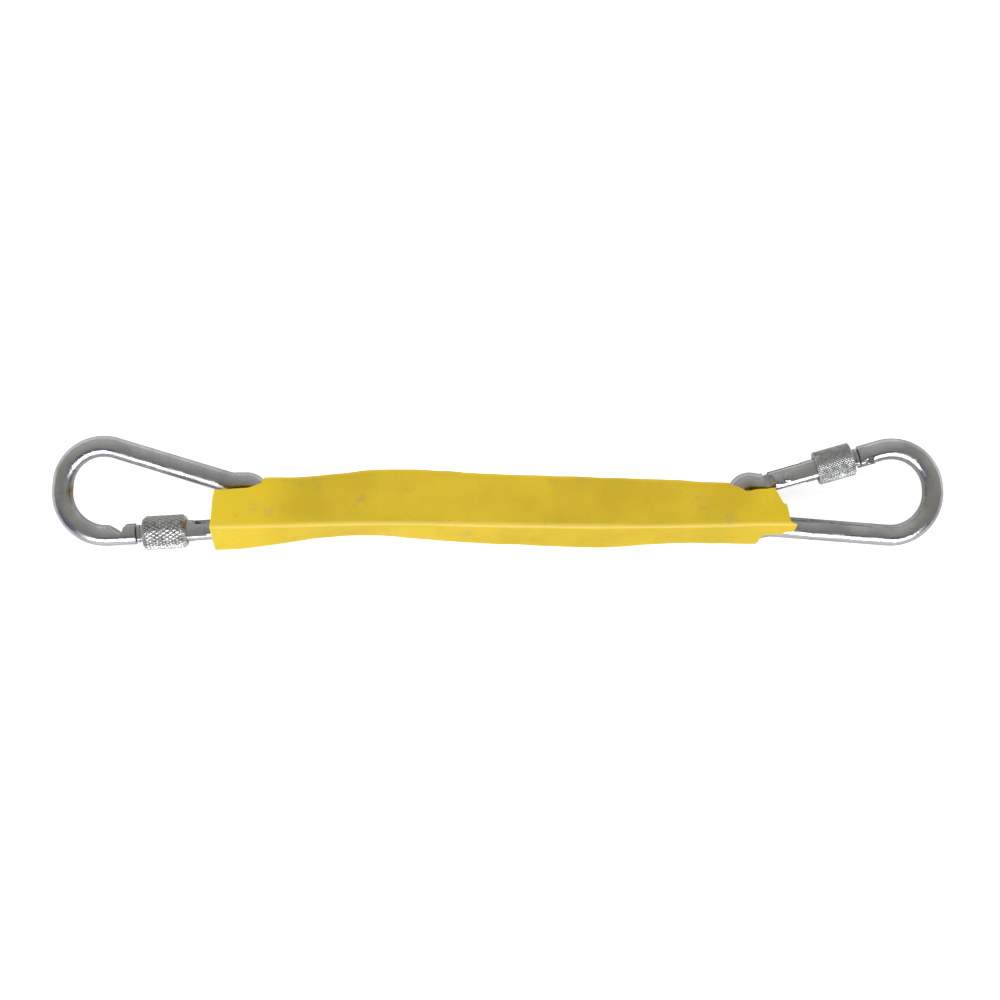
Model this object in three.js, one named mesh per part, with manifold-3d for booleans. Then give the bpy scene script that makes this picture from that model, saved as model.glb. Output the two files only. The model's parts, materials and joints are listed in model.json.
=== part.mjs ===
// Sleeved lifting connector: a soft strap in a yellow lay-flat sleeve with a screw-lock snap hook at each end.
// Units are millimetres, +Z is up, and the connector lies along X on the plane z = 0.
import * as THREE from 'three';
import { mergeVertices } from 'three/addons/utils/BufferGeometryUtils.js';
import Module from 'manifold-3d';

const wasm = await Module();
wasm.setup();

// ---- driving dimensions -------------------------------------------------------------------------
const DEG = Math.PI / 180;
const FIT = 0.3;                 // clearance kept between neighbouring pieces

const wireRadius = 4;            // 8 mm bent wire of the hook
const wireSides = 12;
const bowRadius = 15.8;          // centre line of the wide bow
const sideAngle = 10.2 * DEG;    // spine and gate lean towards each other by this much each
const eyeRadius = 4.4;           // centre line of the two tight corners of the small eye
const eyeCentre = 53.2;          // bow centre to the corners' centres, along the hook

const gateReach = 28;            // hinge to the end face of the nose
const gateRadius = 4;
const gateEnd = 27.6;
const neckStart = 25.2;          // turned-down neck in front of the thread
const neckRadius = 3.1;
const forkBack = -6.8;           // fork of the gate behind the hinge
const forkSlot = 1.8;            // half width of the fork's slot
const slotEnd = 6.5;
const boreRadius = 1.95;         // spring chamber
const boreEnd = 19.2;
const tongueHalf = 1.5;          // flattened hinge end of the wire, half thickness
const tongueSide = 3.0;
const tongueTip = 3.2;
const tongueBack = -8.8;
const rivetRadius = 1.5;
const rivetHead = 1.85;
const noseSlot = 1.1;            // half width of the slot that takes the gate's latch
const latchHalf = 0.8;
const noseSlotEnd = 37;
const webDepth = 2.9;            // the slot stops here, leaving an outer web
const nutBore = 4.55;
const nutThread = 4.35;
const springRadius = 1.4;
const springWire = 0.22;
const springTurns = 6;

// origin: centre of the bow; eye: how far each tight corner's centre lies off the long axis; angles in degrees
const hooks = {
  left: {
    origin: [-147.5, 1.1, 8.35], heading: -6.85, pitch: 0, roll: 8, bowFlat: 2.1, hinge: 40.9,
    eye: { spine: 5.2, gate: 4.4 },
    nut: { start: 8.8, length: 16.4, radius: 6.4, edge: 1.3, tilt: 0 }, pinned: false,
  },
  right: {
    origin: [147.0, 0.65, 6.25], heading: 185.7, pitch: 1.5, roll: -5, bowFlat: 0.9, hinge: 38.5,
    eye: { spine: 4.2, gate: 5.2 },
    nut: { start: 11.2, length: 14.1, radius: 6.25, edge: 0.5, tilt: 2.2 }, pinned: true,
  },
};

const sleeveWall = 0.8;
const strapThickness = 1.3;
const strapWidth = 15;
const strapEyeWidth = 7.4;
const strapFloor = 1.2;          // underside of the strap's lower leg
const strapGap = 0.5;            // between the two legs where they lie together
const strapBore = wireRadius + 0.5;
const strapFlat = 58;            // the legs lie flat between -strapFlat and +strapFlat

// ---- materials ----------------------------------------------------------------------------------
function metal(color, roughness) {
  return new THREE.MeshStandardMaterial({ color, roughness, metalness: 1 });
}

function soft(color, roughness) {
  return new THREE.MeshStandardMaterial({ color, roughness, metalness: 0 });
}

const zincColour = 0xb9bcc0;
const springColour = 0x8d8f92;
const sleeveColour = 0xd9bc36;
const strapColour = 0xd9761a;
const threadColour = 0xe8e2d2;

// ---- solids -------------------------------------------------------------------------------------
function toSolid(geometry) {
  const plain = geometry.index ? geometry.toNonIndexed() : geometry.clone();
  plain.deleteAttribute('normal');
  plain.deleteAttribute('uv');
  const merged = mergeVertices(plain, 1e-4);
  return new wasm.Manifold(new wasm.Mesh({
    numProp: 3,
    vertProperties: new Float32Array(merged.attributes.position.array),
    triVerts: new Uint32Array(merged.index.array),
  }));
}

function toGeometry(solid) {
  const mesh = solid.getMesh();
  const geometry = new THREE.BufferGeometry();
  geometry.setAttribute('position', new THREE.BufferAttribute(mesh.vertProperties, mesh.numProp));
  geometry.setIndex(new THREE.BufferAttribute(mesh.triVerts, 1));
  geometry.computeVertexNormals();
  return geometry;
}

function cutAll(solid, cutters) {
  return cutters.reduce((left, cutter) => left.subtract(cutter), solid);
}

function box(x0, x1, y0, y1, z0, z1) {
  const geometry = new THREE.BoxGeometry(x1 - x0, y1 - y0, z1 - z0);
  geometry.translate((x0 + x1) / 2, (y0 + y1) / 2, (z0 + z1) / 2);
  return toSolid(geometry);
}

// a turned piece about the X axis, from [x, radius] points that start and end on the axis
function turnedGeometry(points, sides = 16) {
  const profile = points.map(([x, radius]) => new THREE.Vector2(radius, x));
  const geometry = new THREE.LatheGeometry(profile, sides);
  geometry.rotateZ(-Math.PI / 2);
  return geometry;
}

function rod(x0, x1, radius, sides = 16) {
  return toSolid(turnedGeometry([[x0, 0], [x0, radius], [x1, radius], [x1, 0]], sides));
}

function pinGeometry(radius, z0, z1, sides = 14) {
  const geometry = new THREE.CylinderGeometry(radius, radius, z1 - z0, sides);
  geometry.rotateX(Math.PI / 2);
  geometry.translate(0, 0, (z0 + z1) / 2);
  return geometry;
}

// an outline in the XY plane, extruded from z0 to z1
function plate(outline, z0, z1) {
  const shape = new THREE.Shape(outline.map(([x, y]) => new THREE.Vector2(x, y)));
  const geometry = new THREE.ExtrudeGeometry(shape, { depth: z1 - z0, bevelEnabled: false });
  geometry.translate(0, 0, z0);
  return toSolid(geometry);
}

// ---- lines with rounded corners -----------------------------------------------------------------
// Corners are [x, y, radius, steps]; the result is a list of points along the rounded line.
function roundedLine(corners, closed = false) {
  const count = corners.length;
  const points = [];
  for (let i = 0; i < count; i += 1) {
    const [x, y, radius = 0, steps = 4] = corners[i];
    const here = new THREE.Vector2(x, y);
    if (!radius || (!closed && (i === 0 || i === count - 1))) {
      points.push(here);
      continue;
    }
    const before = corners[(i + count - 1) % count];
    const after = corners[(i + 1) % count];
    const back = new THREE.Vector2(before[0], before[1]).sub(here).normalize();
    const ahead = new THREE.Vector2(after[0], after[1]).sub(here).normalize();
    const half = Math.acos(THREE.MathUtils.clamp(back.dot(ahead), -1, 1)) / 2;
    const centre = back.clone().add(ahead).normalize().multiplyScalar(radius / Math.sin(half)).add(here);
    const start = back.clone().multiplyScalar(radius / Math.tan(half)).add(here).sub(centre);
    const turn = Math.PI - 2 * half;
    const side = Math.sign(back.x * ahead.y - back.y * ahead.x) || 1;
    for (let k = 0; k <= steps; k += 1) {
      points.push(start.clone().rotateAround(new THREE.Vector2(), -side * turn * k / steps).add(centre));
    }
  }
  return points;
}

// A wire along listed points, with one ring of the sweep at each point.
class BentWire extends THREE.Curve {
  constructor(points) {
    super();
    this.points = points;
  }

  getPoint(t) {
    const place = t * (this.points.length - 1);
    const index = Math.min(Math.floor(place), this.points.length - 2);
    return this.points[index].clone().lerp(this.points[index + 1], place - index);
  }

  getPointAt(t) {
    return this.getPoint(t);
  }

  getTangentAt(t) {
    const index = Math.round(t * (this.points.length - 1));
    const here = this.points[index];
    const ahead = this.points[Math.min(index + 1, this.points.length - 1)].clone().sub(here);
    const behind = here.clone().sub(this.points[Math.max(index - 1, 0)]);
    return ahead.normalize().add(behind.normalize()).normalize();
  }
}

function sweep(points, radius, sides) {
  const section = new THREE.Shape();
  for (let i = 0; i < sides; i += 1) {
    const angle = 2 * Math.PI * (i + 0.5) / sides;
    const place = [radius * Math.cos(angle), radius * Math.sin(angle)];
    if (i === 0) section.moveTo(...place);
    else section.lineTo(...place);
  }
  return new THREE.ExtrudeGeometry(section, {
    steps: points.length - 1, bevelEnabled: false, extrudePath: new BentWire(points),
  });
}

// ---- hook ---------------------------------------------------------------------------------------
// In the hook's own frame the bow's centre is the origin, +X runs to the small eye, +Y to the spine.
// In the gate's own frame the hinge is the origin, +X runs to the nose and -Y is the inside.
function gateFrame(hook) {
  const slope = Math.tan(sideAngle);
  const y = -(hook.bowFlat / 2 + bowRadius / Math.cos(sideAngle) - slope * hook.hinge);
  return { x: hook.hinge, y, angle: Math.PI + sideAngle };
}

function wireLine(hook) {
  const slope = Math.tan(sideAngle);
  const edge = hook.bowFlat / 2 + bowRadius / Math.cos(sideAngle);
  const line = (x) => edge - slope * x;
  const hinge = gateFrame(hook);
  const along = (distance) => [
    hinge.x - distance * Math.cos(sideAngle), hinge.y - distance * Math.sin(sideAngle),
  ];
  const eyeEnd = eyeCentre + eyeRadius;
  const bulge = eyeRadius + 0.5;
  const kink = eyeCentre - 6.4;
  return roundedLine([
    along(gateReach),
    [-bowRadius, -line(-bowRadius), bowRadius, 9],
    [-bowRadius, line(-bowRadius), bowRadius, 9],
    [kink, line(kink), 7, 3],
    [eyeEnd, hook.eye.spine + bulge, eyeRadius, 6],
    [eyeEnd, -hook.eye.gate - bulge, eyeRadius, 6],
    [...along(-10.4), 3, 3],
    along(tongueTip),
  ]);
}

// the notch on the inside of the nose, in the gate's frame
function noseNotch(pinned) {
  const deep = 6;
  if (pinned) {
    const [pinX, pinY] = latchPinPlace;
    const halfWidth = latchPinRadius + FIT;
    return roundedLine([
      [pinX + halfWidth, -deep], [pinX + halfWidth, pinY + halfWidth, halfWidth * 0.98, 4],
      [pinX - halfWidth, pinY + halfWidth, halfWidth * 0.98, 4], [pinX - halfWidth, -deep],
    ]);
  }
  return roundedLine([
    [39.3, -deep], [38.6, -4.1], [33.9, -0.3, 0.9, 4], [32.9, -1.2, 0.8, 3],
    [32.5, -3.3, 2.2, 5], [29.6, -4.4, 3, 3], [27.0, -3.2], [27.0, -deep],
  ]);
}

const latchPinPlace = [31.6, -2.6];
const latchPinRadius = 1.0;

function hookBody(hook) {
  const points = wireLine(hook).map((point) => new THREE.Vector3(point.x, point.y, 0));
  const wire = toSolid(sweep(points, wireRadius, wireSides));
  const frame = gateFrame(hook);
  const far = 9;
  const cutters = [
    box(tongueBack, far, -far, far, tongueHalf, far),
    box(tongueBack, far, -far, far, -far, -tongueHalf),
    box(tongueBack, far, tongueSide, far, -far, far),
    box(tongueBack, far, -far, -tongueSide, -far, far),
    toSolid(pinGeometry(rivetRadius + FIT, -far, far)),
    box(gateReach - 1, noseSlotEnd, -far, webDepth, -noseSlot, noseSlot),
    plate(noseNotch(hook.pinned).map((point) => [point.x, point.y]), -far, far),
  ];
  const placed = cutters.map((cutter) => cutter
    .rotate([0, 0, frame.angle / DEG])
    .translate([frame.x, frame.y, 0]));
  return toGeometry(cutAll(wire, placed));
}

// ---- gate and its small parts, all in the gate's frame ------------------------------------------
function gateBody(hook) {
  const far = 9;
  const barrel = toSolid(turnedGeometry([
    [forkBack, 0], [forkBack, gateRadius], [neckStart - 0.6, gateRadius], [neckStart, neckRadius],
    [gateEnd, neckRadius], [gateEnd, 0],
  ]));
  const latchTip = hook.pinned ? latchPinPlace[0] + 2 : 32.2;
  const latchIn = hook.pinned ? -4.1 : -3.0;
  const latch = box(gateEnd - 1, latchTip, latchIn, webDepth - FIT, -latchHalf, latchHalf);
  const bevel = [[forkBack + 3.4, gateRadius + 1], [forkBack - 1, gateRadius + 1], [forkBack - 1, 1.4]];
  const bevelCut = plate(bevel, -far, far);
  const cutters = [
    box(forkBack - 1, slotEnd, -far, far, -forkSlot, forkSlot),
    rod(slotEnd - 0.5, boreEnd, boreRadius, 12),
    toSolid(pinGeometry(rivetRadius + FIT, -far, far)),
    bevelCut.rotate([90, 0, 0]),
    bevelCut.rotate([-90, 0, 0]),
  ];
  if (hook.pinned) {
    const [pinX, pinY] = latchPinPlace;
    cutters.push(toSolid(pinGeometry(latchPinRadius + FIT, -far, far)).translate([pinX, pinY, 0]));
  }
  return toGeometry(cutAll(barrel.add(latch), cutters));
}

function rivetGeometry() {
  const seat = gateRadius + 0.1;
  const crown = 0.8;
  const geometry = turnedGeometry([
    [-seat - crown, 0], [-seat - crown * 0.7, rivetHead * 0.65], [-seat, rivetHead], [-seat, rivetRadius],
    [seat, rivetRadius], [seat, rivetHead], [seat + crown * 0.7, rivetHead * 0.65], [seat + crown, 0],
  ], 14);
  geometry.rotateY(-Math.PI / 2);
  return geometry;
}

function nutGeometry({ start, length, radius, edge }) {
  const end = start + length;
  const threadEnd = start + length * 0.35;
  return turnedGeometry([
    [start, nutThread], [start, radius - edge], [start + edge, radius], [end - edge, radius],
    [end, radius - edge], [end, nutBore], [threadEnd, nutBore], [threadEnd - 0.3, nutThread], [start, nutThread],
  ], 20);
}

function springGeometry() {
  const stepsPerTurn = 11;
  const start = 8.9;
  const length = boreEnd - 0.6 - start;
  const steps = springTurns * stepsPerTurn;
  const points = [];
  for (let i = 0; i <= steps; i += 1) {
    const angle = 2 * Math.PI * i / stepsPerTurn;
    points.push(new THREE.Vector3(
      start + length * i / steps, springRadius * Math.cos(angle), springRadius * Math.sin(angle),
    ));
  }
  return sweep(points, springWire, 5);
}

function plungerGeometry() {
  const radius = 1.5;
  return turnedGeometry([
    [tongueTip + 0.4, 0], [tongueTip + 0.4, radius * 0.6], [tongueTip + 1.2, radius],
    [8.3, radius], [8.3, 0],
  ], 12);
}

// ---- sleeve -------------------------------------------------------------------------------------
// Stations along X: top edge, ridge and low edge in Y, then heights of shoulder, ridge and low side.
const sleeveStations = [
  { x: -108.2, top: 5.8, ridge: -12.4, low: -20.8, shoulderZ: 15.6, ridgeZ: 17.6, lowZ: 8 },
  { x: -87.0, top: 6.1, ridge: -12.0, low: -19.5, shoulderZ: 15.6, ridgeZ: 17.4, lowZ: 8 },
  { x: -67.0, top: 7.0, ridge: -11.6, low: -17.0, shoulderZ: 11.5, ridgeZ: 17.0, lowZ: 5 },
  { x: -48.0, top: 9.1, ridge: -11.3, low: -15.5, shoulderZ: 9.0, ridgeZ: 16.5, lowZ: 4 },
  { x: -27.0, top: 8.9, ridge: -11.4, low: -17.1, shoulderZ: 8.0, ridgeZ: 16.2, lowZ: 3.5 },
  { x: 0.0, top: 7.5, ridge: -11.8, low: -19.2, shoulderZ: 7.5, ridgeZ: 16.0, lowZ: 3.5 },
  { x: 35.0, top: 6.7, ridge: -12.3, low: -20.3, shoulderZ: 7.5, ridgeZ: 15.6, lowZ: 3.5 },
  { x: 59.0, top: 5.5, ridge: -12.2, low: -19.2, shoulderZ: 9.5, ridgeZ: 15.8, lowZ: 5 },
  { x: 80.0, top: 4.6, ridge: -11.8, low: -18.7, shoulderZ: 14.0, ridgeZ: 16.6, lowZ: 8 },
  { x: 97.0, top: 4.2, ridge: -11.3, low: -18.9, shoulderZ: 14.6, ridgeZ: 16.6, lowZ: 8 },
  { x: 112.0, top: 4.0, ridge: -11.4, low: -18.0, shoulderZ: 14.4, ridgeZ: 16.0, lowZ: 8 },
];

function sleeveSection(station, inset) {
  const { top, ridge, low, shoulderZ, ridgeZ, lowZ } = station;
  const foot = 0.9;
  const corners = [
    [top - foot, 0], [top, shoulderZ], [ridge, ridgeZ], [low, lowZ], [low + foot, 0],
  ];
  const radii = [1.6, 1.8, 1.2, 2.5, 1.6];
  const moved = corners.map((corner, i) => {
    const before = corners[(i + corners.length - 1) % corners.length];
    const after = corners[(i + 1) % corners.length];
    return insetCorner(before, corner, after, inset);
  });
  const rounded = moved.map(([y, z], i) => [y, z, Math.max(radii[i] - inset, 0.3), 2]);
  return roundedLine(rounded, true);
}

// the corner where both neighbouring sides have moved inwards by the same distance
function insetCorner(before, corner, after, inset) {
  const back = new THREE.Vector2(before[0] - corner[0], before[1] - corner[1]).normalize();
  const ahead = new THREE.Vector2(after[0] - corner[0], after[1] - corner[1]).normalize();
  const inward = back.clone().add(ahead).normalize();
  const reach = inset / Math.sin(Math.acos(back.dot(ahead)) / 2);
  return [corner[0] + inward.x * reach, corner[1] + inward.y * reach];
}

// a closed solid through rings of equally many points
function loft(rings) {
  const count = rings[0].length;
  const positions = rings.flat().flatMap((point) => point.toArray());
  const faces = [];
  for (let r = 0; r + 1 < rings.length; r += 1) {
    for (let i = 0; i < count; i += 1) {
      const a = r * count + i;
      const b = r * count + (i + 1) % count;
      faces.push(a, b, a + count, b, b + count, a + count);
    }
  }
  const last = (rings.length - 1) * count;
  for (let i = 1; i + 1 < count; i += 1) {
    faces.push(0, i + 1, i);
    faces.push(last, last + i, last + i + 1);
  }
  const geometry = new THREE.BufferGeometry();
  geometry.setAttribute('position', new THREE.Float32BufferAttribute(positions, 3));
  geometry.setIndex(faces);
  return toSolid(geometry);
}

function sleeveTube(inset, overrun) {
  const rings = sleeveStations.map((station, i) => {
    const ends = { 0: -overrun, [sleeveStations.length - 1]: overrun };
    const x = station.x + (ends[i] ?? 0);
    return sleeveSection(station, inset).map((point) => new THREE.Vector3(x, point.x, point.y));
  });
  return loft(rings);
}

function sleeveGeometry() {
  const high = 40;
  const floor = sleeveWall + 0.4;
  const leftCut = [[-120, 1.6], [-93.5, 2.2], [-89, 3.4], [-87, 5], [-86.8, 20], [-120, 20]];
  const rightCut = [
    [86.8, 20], [87.2, 4.6], [93, 0.9], [96.5, 1.6], [103.4, 2.3], [105.4, -0.4], [108.2, -4.2],
    [109.4, -10], [111.9, -11.4], [111.2, -13.4], [101.5, -16], [97, -17.2], [97, -30], [140, -30], [140, 20],
  ];
  const sideCut = 84.6;
  const underEnd = 104;
  return toGeometry(cutAll(sleeveTube(0, 0), [
    sleeveTube(sleeveWall, 2),
    plate(leftCut, floor, high),
    plate(rightCut, floor, high),
    box(sideCut, 140, 2.4, 40, floor, 12.6),
    box(underEnd, 140, -40, 40, -1, 12),
  ]));
}

// ---- strap --------------------------------------------------------------------------------------
function eyePlace(hook) {
  const local = new THREE.Vector3(eyeCentre + eyeRadius, (hook.eye.spine - hook.eye.gate) / 2, 0);
  return local.applyEuler(hookTurn(hook)).add(new THREE.Vector3(...hook.origin));
}

function hookTurn(hook) {
  return new THREE.Euler(hook.roll * DEG, -hook.pitch * DEG, hook.heading * DEG, 'ZYX');
}

function strapOutline(radius, legs) {
  const left = eyePlace(hooks.left);
  const right = eyePlace(hooks.right);
  const shape = new THREE.Shape();
  const lean = 12 * DEG;
  shape.absarc(left.x, left.z, radius, Math.PI / 2 - lean, 3 * Math.PI / 2, false);
  shape.lineTo(-strapFlat, legs.low);
  shape.lineTo(0, legs.low);
  shape.lineTo(strapFlat, legs.low);
  shape.absarc(right.x, right.z, radius, -Math.PI / 2, Math.PI / 2 + lean, false);
  shape.lineTo(strapFlat, legs.high);
  shape.lineTo(0, legs.high);
  shape.lineTo(-strapFlat, legs.high);
  return shape;
}

function strapGeometry() {
  const level = {
    low: strapFloor, lowInner: strapFloor + strapThickness,
    highInner: strapFloor + strapThickness + strapGap,
    high: strapFloor + 2 * strapThickness + strapGap,
  };
  const outer = strapOutline(strapBore + strapThickness, { low: level.low, high: level.high });
  outer.holes.push(strapOutline(strapBore, { low: level.lowInner, high: level.highInner }));
  const geometry = new THREE.ExtrudeGeometry(outer, { depth: 1, bevelEnabled: false, curveSegments: 10 });
  geometry.rotateX(Math.PI / 2);
  geometry.translate(0, 0.5, 0);
  const solid = toSolid(geometry);
  return toGeometry(solid.warp(followEyes));
}

// Widens the unit-wide band to the strap's width and turns its ends to lie along the eyes' wires.
function followEyes(vertex) {
  const [x, y] = vertex;
  const hook = x < 0 ? hooks.left : hooks.right;
  const eye = eyePlace(hook);
  const atEye = THREE.MathUtils.smoothstep(Math.abs(x), strapFlat, Math.abs(eye.x) - 9);
  const width = THREE.MathUtils.lerp(strapWidth, strapEyeWidth, atEye);
  const across = new THREE.Vector3(0, 1, 0).applyEuler(hookTurn(hook));
  across.multiplyScalar(Math.sign(across.y));
  const midY = THREE.MathUtils.lerp(-6.2, eye.y, atEye);
  vertex[0] = x + y * width * across.x * atEye;
  vertex[1] = midY + y * width * THREE.MathUtils.lerp(1, across.y, atEye);
  vertex[2] += y * width * across.z * atEye;
}

function stitchGeometry(x) {
  const top = strapFloor + 2 * strapThickness + strapGap + FIT;
  const geometry = new THREE.BoxGeometry(18, 11, 0.4);
  geometry.translate(x, -6.2, top + 0.2);
  return geometry;
}

// ---- assembly -----------------------------------------------------------------------------------
function named(name, geometry, material) {
  const mesh = new THREE.Mesh(geometry, material);
  mesh.name = name;
  return mesh;
}

function buildHook(side, hook) {
  const whole = new THREE.Group();
  whole.position.set(...hook.origin);
  whole.rotation.copy(hookTurn(hook));
  whole.add(named(`hook_${side}`, hookBody(hook), metal(zincColour, 0.22)));

  const gate = new THREE.Group();
  const frame = gateFrame(hook);
  gate.position.set(frame.x, frame.y, 0);
  gate.rotation.z = frame.angle;
  gate.add(named(`gate_${side}`, gateBody(hook), metal(zincColour, 0.25)));
  gate.add(named(`rivet_${side}`, rivetGeometry(), metal(zincColour, 0.2)));
  gate.add(named(`plunger_${side}`, plungerGeometry(), metal(springColour, 0.35)));
  gate.add(named(`spring_${side}`, springGeometry(), metal(springColour, 0.35)));
  if (hook.pinned) {
    const pin = pinGeometry(latchPinRadius, -3.1, 3.1, 12);
    pin.translate(...latchPinPlace, 0);
    gate.add(named(`latch_pin_${side}`, pin, metal(zincColour, 0.3)));
  }
  const nut = named(`locking_nut_${side}`, nutGeometry(hook.nut), metal(zincColour, 0.3));
  const middle = hook.nut.start + hook.nut.length / 2;
  nut.geometry.translate(-middle, 0, 0);
  nut.position.x = middle;
  nut.rotation.z = hook.nut.tilt * DEG;
  gate.add(nut);
  whole.add(gate);
  return whole;
}

// the hooks' outlines differ a little, so the whole moves until the origin is midway along and across it
const centring = [0.3, -0.3, 0];

const group = new THREE.Group();
group.position.set(...centring);
for (const [side, hook] of Object.entries(hooks)) {
  group.add(buildHook(side, hook));
}
group.add(named('strap', strapGeometry(), soft(strapColour, 0.8)));
group.add(named('strap_stitching_left', stitchGeometry(-40), soft(threadColour, 0.8)));
group.add(named('strap_stitching_right', stitchGeometry(40), soft(threadColour, 0.8)));
group.add(named('sleeve', sleeveGeometry(), soft(sleeveColour, 0.45)));

export default group;
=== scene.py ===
# %% [markdown]
# # A sleeved lifting connector
# Two screw-lock snap hooks of bent zinc-plated wire, joined by a strap that runs inside a yellow vinyl sleeve.
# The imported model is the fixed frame: it says where every hinge, bar and nut lies. This script makes the fine
# surfaces over that frame, in metres, and never moves it.

# %% Load the frame
import json
import math

import bmesh
import bpy
from mathutils import Matrix, Vector, noise
from mathutils.kdtree import KDTree


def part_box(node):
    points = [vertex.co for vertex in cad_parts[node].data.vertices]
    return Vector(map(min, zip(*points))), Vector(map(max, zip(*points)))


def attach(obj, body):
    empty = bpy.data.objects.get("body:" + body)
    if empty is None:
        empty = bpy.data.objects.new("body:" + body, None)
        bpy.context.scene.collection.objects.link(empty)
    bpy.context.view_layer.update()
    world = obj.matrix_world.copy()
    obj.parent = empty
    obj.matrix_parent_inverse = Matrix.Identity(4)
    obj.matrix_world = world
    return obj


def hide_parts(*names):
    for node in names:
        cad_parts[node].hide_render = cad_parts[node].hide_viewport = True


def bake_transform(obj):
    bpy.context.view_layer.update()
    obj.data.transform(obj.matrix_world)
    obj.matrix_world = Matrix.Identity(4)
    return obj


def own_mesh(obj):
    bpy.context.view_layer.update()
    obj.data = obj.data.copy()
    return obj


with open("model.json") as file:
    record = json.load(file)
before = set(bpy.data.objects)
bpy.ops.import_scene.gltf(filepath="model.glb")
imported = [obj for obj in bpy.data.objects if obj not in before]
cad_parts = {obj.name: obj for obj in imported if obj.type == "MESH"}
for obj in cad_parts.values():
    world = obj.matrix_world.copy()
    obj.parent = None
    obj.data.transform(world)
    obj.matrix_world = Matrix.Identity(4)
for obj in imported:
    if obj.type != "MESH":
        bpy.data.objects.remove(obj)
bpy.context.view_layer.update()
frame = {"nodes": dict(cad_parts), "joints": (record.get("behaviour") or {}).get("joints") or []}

# %% [markdown]
# ## Camera
# The connector lies on a table and is seen from straight above with a long lens, so its two hooks show hardly
# any perspective. The lens and the height are set together, so the 334 mm of length fill nine tenths of the frame.

# %% Camera over the table
MM = 0.001
camera_data = bpy.data.cameras.new("camera")
camera_data.lens = 90
camera_data.sensor_width = 36
camera = bpy.data.objects.new("camera", camera_data)
bpy.context.collection.objects.link(camera)
camera.location = (0.7 * MM, -2.6 * MM, 944 * MM)
bpy.context.scene.camera = camera
print("camera height", round(camera.location.z, 3))

# %% [markdown]
# ## The hooks' own frames
# A hook lies turned, pitched and rolled on the table, so it is easiest to model it flat and place it afterwards.
# The gate's frame has its origin on the rivet, its x axis along the bar towards the nose and its z axis along the
# rivet. It comes straight from the frame's joints. The hook's frame is a fixed step away from it: its origin is
# the centre of the wide bow, x runs towards the small eye and y towards the plain side.

# %% Read the joints into matrices
joints = {joint["name"]: joint for joint in frame["joints"]}
SIDE_ANGLE = math.radians(10.2)
BOW_RADIUS = 15.8
SIDES = {
    "left": {"hinge": 40.9, "flat": 2.1, "spine_eye": 5.2, "gate_eye": 4.4, "pinned": False},
    "right": {"hinge": 38.5, "flat": 0.9, "spine_eye": 4.2, "gate_eye": 5.2, "pinned": True},
}


def side_line(hook, x):
    """Distance of the straight sides' centre line from the hook's long axis, at x."""
    return hook["flat"] / 2 + BOW_RADIUS / math.cos(SIDE_ANGLE) - math.tan(SIDE_ANGLE) * x


def gate_matrix(side):
    """The gate's frame in the row frame; its lengths are still in millimetres."""
    x_axis = Vector(joints[f"{side}_plunger_travel"]["axis"]).normalized()
    z_axis = -Vector(joints[f"{side}_gate_opening"]["axis"]).normalized()
    y_axis = z_axis.cross(x_axis)
    place = Matrix((x_axis, y_axis, z_axis)).transposed().to_4x4()
    place.translation = Vector(joints[f"{side}_gate_opening"]["pos_m"])
    return place @ Matrix.Scale(MM, 4)


def gate_in_hook(hook):
    """The gate's frame as seen from the hook's frame, in millimetres."""
    turn = Matrix.Rotation(math.pi + SIDE_ANGLE, 4, "Z")
    return Matrix.Translation((hook["hinge"], -side_line(hook, hook["hinge"]), 0)) @ turn


def hook_matrix(side):
    return gate_matrix(side) @ gate_in_hook(SIDES[side]).inverted()


for side in SIDES:
    print(side, "bow centre", [round(value, 4) for value in hook_matrix(side).translation])

# %% [markdown]
# ## Small helpers for pieces
# Every piece is built in a bmesh in millimetres, then carried to its place, so that its object stays at the
# origin. Cutters are built the same way and taken off with the Boolean modifier, which keeps the edges crisp.

# %% From a bmesh to a placed object
def add_object(name, bm, place=None):
    """Turns a bmesh into an object whose place is in its mesh."""
    if place is not None:
        bmesh.ops.transform(bm, matrix=place, verts=bm.verts[:])
    mesh = bpy.data.meshes.new(name)
    bm.to_mesh(mesh)
    bm.free()
    piece = bpy.data.objects.new(name, mesh)
    bpy.context.collection.objects.link(piece)
    return piece


def apply_modifiers(piece):
    """Replaces the mesh by what its modifiers make of it."""
    view = bpy.context.evaluated_depsgraph_get()
    done = bpy.data.meshes.new_from_object(piece.evaluated_get(view))
    piece.modifiers.clear()
    old = piece.data
    piece.data = done
    done.name = piece.name
    bpy.data.meshes.remove(old)


def cut(piece, cutters, solver="EXACT"):
    """Takes the cutters off the piece and deletes them."""
    for cutter in cutters:
        modifier = piece.modifiers.new("cut", "BOOLEAN")
        modifier.operation = "DIFFERENCE"
        modifier.solver = solver
        modifier.object = cutter
    bpy.context.view_layer.update()
    apply_modifiers(piece)
    for cutter in cutters:
        bpy.data.objects.remove(cutter)


def wear_edges(piece, width):
    """Rounds the sharp edges a little, as handling does; the width is in millimetres."""
    rim = piece.modifiers.new("worn_edges", "BEVEL")
    rim.width = width * MM
    rim.segments = 2
    rim.limit_method = "ANGLE"
    rim.angle_limit = math.radians(50)
    apply_modifiers(piece)


def paint(pieces, material):
    """Gives each piece this one material."""
    for piece in pieces:
        piece.data.materials.clear()
        piece.data.materials.append(material)


def smooth(piece, angle=32):
    """Smooth shading that keeps edges sharper than the angle."""
    for polygon in piece.data.polygons:
        polygon.use_smooth = True
    piece.data.set_sharp_from_angle(angle=math.radians(angle))


# %% Boxes, round bars and flat plates
def box_piece(name, low, high, place):
    bm = bmesh.new()
    bmesh.ops.create_cube(bm, size=1)
    size = Vector(high) - Vector(low)
    middle = (Vector(high) + Vector(low)) / 2
    bmesh.ops.scale(bm, vec=size, verts=bm.verts[:])
    bmesh.ops.translate(bm, vec=middle, verts=bm.verts[:])
    return add_object(name, bm, place)


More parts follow.
